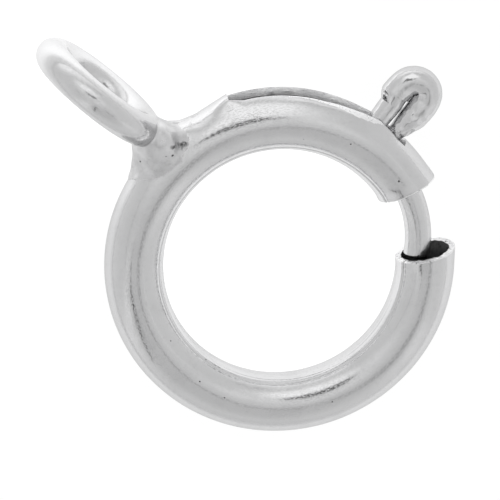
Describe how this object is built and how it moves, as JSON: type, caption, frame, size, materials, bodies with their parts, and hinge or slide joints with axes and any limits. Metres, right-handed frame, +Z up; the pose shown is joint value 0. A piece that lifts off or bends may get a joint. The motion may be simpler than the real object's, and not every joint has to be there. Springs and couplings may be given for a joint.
{
  "type": "spring ring clasp",
  "caption": "Spring ring clasp: a hollow wire ring with a sprung bolt that closes its gap, a loop trigger and a soldered eye for a chain.",
  "frame": {"origin": "on the surface that the clasp lies on, below the middle of its bounding box", "axes": "+X from the ring towards the eye, +Z up from the surface that it lies on"},
  "size_m": [0.01, 0.0084, 0.003],
  "materials": {
    "polished_silver": "polished silver",
    "drawn_silver_wire": "polished silver wire",
    "spring_wire": "drawn steel wire"
  },
  "bodies": {
    "case": {"case": "polished_silver", "spring": "spring_wire"},
    "bolt": {"bolt": "drawn_silver_wire"}
  },
  "joints": [
    {"name": "bolt_slide", "type": "hinge", "parent": "case", "child": "bolt", "pos_m": [-0.00155, 0.00069, 0.00092], "axis": [-0.1137, 0, 0.9935], "range_deg": [0, 48], "stiffness_Nm_per_rad": 0.004, "deforming": ["spring"]}
  ]
}
